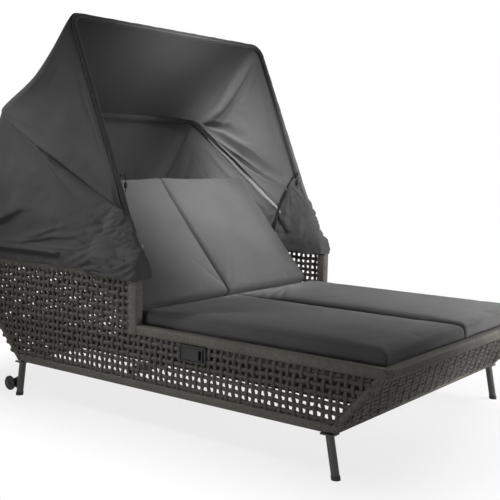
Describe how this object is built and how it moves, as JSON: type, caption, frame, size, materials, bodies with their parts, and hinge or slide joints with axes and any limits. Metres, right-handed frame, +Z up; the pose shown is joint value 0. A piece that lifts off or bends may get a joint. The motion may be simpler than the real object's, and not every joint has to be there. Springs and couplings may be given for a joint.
{
  "type": "outdoor daybed with canopy",
  "caption": "Woven outdoor daybed on short legs with rear wheels, thick seat cushions, reclining backs on gas springs, and a fabric canopy folding on hinged bows.",
  "frame": {"origin": "on the floor, below the middle of the tub", "axes": "+Z up, +Y towards the head end, where the wheels and the hem of the canopy are, +X towards the side whose node names end in right"},
  "size_m": [1.4192, 2.2496, 1.6373],
  "materials": {
    "wrapped_cord": "fine round cord wound round the bars, weathered grey-brown",
    "woven_cord": "open weave of synthetic cord, weathered grey-brown",
    "dark_steel": "satin dark grey powder coat",
    "aluminium_frame": "satin, lightly weathered",
    "dark_plastic": "matt moulded, green-black",
    "rubber": "matt",
    "canopy_fabric": "plain matt woven cloth, dark grey",
    "cushion_fabric": "plain matt woven cloth, dark grey"
  },
  "bodies": {
    "base": {"bottom_rail_left": "wrapped_cord", "bottom_rail_right": "wrapped_cord", "bottom_rail_foot": "wrapped_cord", "bottom_rail_head": "wrapped_cord", "low_rim_left": "wrapped_cord", "low_rim_right": "wrapped_cord", "low_rim_foot": "wrapped_cord", "high_rim_left": "wrapped_cord", "high_rim_right": "wrapped_cord", "high_rim_head": "wrapped_cord", "step_post_left": "wrapped_cord", "step_post_right": "wrapped_cord", "corner_post_foot_left": "dark_steel", "corner_post_foot_right": "dark_steel", "corner_post_head_left": "dark_steel", "corner_post_head_right": "dark_steel", "weave_left": "woven_cord", "weave_right": "woven_cord", "weave_foot": "woven_cord", "weave_head": "woven_cord", "handle_tray_left": "dark_plastic", "handle_tray_right": "dark_plastic", "seat_deck": "aluminium_frame", "deck_rail_left": "dark_steel", "deck_rail_right": "dark_steel", "back_rest_bar": "dark_steel", "hinge_rod": "dark_steel", "spring_bar": "dark_steel", "leg_foot_left": "dark_steel", "leg_foot_right": "dark_steel", "leg_head_left": "dark_steel", "leg_head_right": "dark_steel", "foot_cap_foot_left": "rubber", "foot_cap_foot_right": "rubber", "foot_cap_head_left": "rubber", "foot_cap_head_right": "rubber", "wheel_bracket_left": "dark_steel", "wheel_bracket_right": "dark_steel", "canopy_pivot_left": "dark_steel", "canopy_pivot_right": "dark_steel", "seat_cushion_left": "cushion_fabric", "seat_cushion_right": "cushion_fabric", "canopy_skirt": "canopy_fabric"},
    "backrest_left_body": {"backrest_frame_left": "aluminium_frame", "back_cushion_left": "cushion_fabric"},
    "gas_tube_left_body": {"gas_cylinder_left": "dark_steel"},
    "gas_rod_left_body": {"gas_rod_left": "aluminium_frame"},
    "paddle_left_body": {"release_paddle_left": "dark_plastic"},
    "wheel_left_body": {"wheel_left": "rubber"},
    "backrest_right_body": {"backrest_frame_right": "aluminium_frame", "back_cushion_right": "cushion_fabric"},
    "gas_tube_right_body": {"gas_cylinder_right": "dark_steel"},
    "gas_rod_right_body": {"gas_rod_right": "aluminium_frame"},
    "paddle_right_body": {"release_paddle_right": "dark_plastic"},
    "wheel_right_body": {"wheel_right": "rubber"},
    "rear_bow_body": {"rear_bow": "aluminium_frame", "canopy_back_cloth": "canopy_fabric"},
    "front_bow_body": {"front_bow": "aluminium_frame", "canopy_roof_cloth": "canopy_fabric"}
  },
  "joints": [
    {"name": "back_recline_left", "type": "hinge", "parent": "base", "child": "backrest_left_body", "pos_m": [0, 0.084, 0.34], "axis": [1, 0, 0], "range_deg": [-49, 0]},
    {"name": "gas_swing_left", "type": "hinge", "parent": "base", "child": "gas_tube_left_body", "pos_m": [-0.317, 0.06, 0.235], "axis": [1, 0, 0], "range_deg": [-37.7, 0]},
    {"name": "gas_slide_left", "type": "slide", "parent": "gas_tube_left_body", "child": "gas_rod_left_body", "axis": [0, 0.6175, 0.7866], "range_m": [-0.0626, 0]},
    {"name": "paddle_pull_left", "type": "hinge", "parent": "base", "child": "paddle_left_body", "pos_m": [-0.6985, -0.255, 0.33535], "axis": [0, 0, -1], "range_deg": [0, 22], "stiffness_Nm_per_rad": 0.3},
    {"name": "wheel_spin_left", "type": "hinge", "parent": "base", "child": "wheel_left_body", "pos_m": [-0.6785, 0.763, 0.042], "axis": [1, 0, 0], "continuous": true},
    {"name": "back_recline_right", "type": "hinge", "parent": "base", "child": "backrest_right_body", "pos_m": [0, 0.084, 0.34], "axis": [1, 0, 0], "range_deg": [-49, 0]},
    {"name": "gas_swing_right", "type": "hinge", "parent": "base", "child": "gas_tube_right_body", "pos_m": [0.317, 0.06, 0.235], "axis": [1, 0, 0], "range_deg": [-37.7, 0]},
    {"name": "gas_slide_right", "type": "slide", "parent": "gas_tube_right_body", "child": "gas_rod_right_body", "axis": [0, 0.6175, 0.7866], "range_m": [-0.0626, 0]},
    {"name": "paddle_pull_right", "type": "hinge", "parent": "base", "child": "paddle_right_body", "pos_m": [0.6985, -0.255, 0.33535], "axis": [0, 0, 1], "range_deg": [0, 22], "stiffness_Nm_per_rad": 0.3},
    {"name": "wheel_spin_right", "type": "hinge", "parent": "base", "child": "wheel_right_body", "pos_m": [0.6785, 0.763, 0.042], "axis": [1, 0, 0], "continuous": true},
    {"name": "canopy_rear_fold", "type": "hinge", "parent": "base", "child": "rear_bow_body", "pos_m": [0, -0.01, 0.597], "axis": [1, 0, 0], "range_deg": [-32, 0], "deforming": ["canopy_back_cloth"]},
    {"name": "canopy_front_fold", "type": "hinge", "parent": "rear_bow_body", "child": "front_bow_body", "pos_m": [0, -0.01, 0.597], "axis": [1, 0, 0], "range_deg": [-18.6, 0], "deforming": ["canopy_roof_cloth"]}
  ],
  "couplings": [
    {"joint": "gas_swing_left", "follows": "back_recline_left", "ratio": 0.76817},
    {"joint": "gas_slide_left", "follows": "back_recline_left", "m_per_rad": 0.073023},
    {"joint": "gas_swing_right", "follows": "back_recline_right", "ratio": 0.76817},
    {"joint": "gas_slide_right", "follows": "back_recline_right", "m_per_rad": 0.073023}
  ]
}
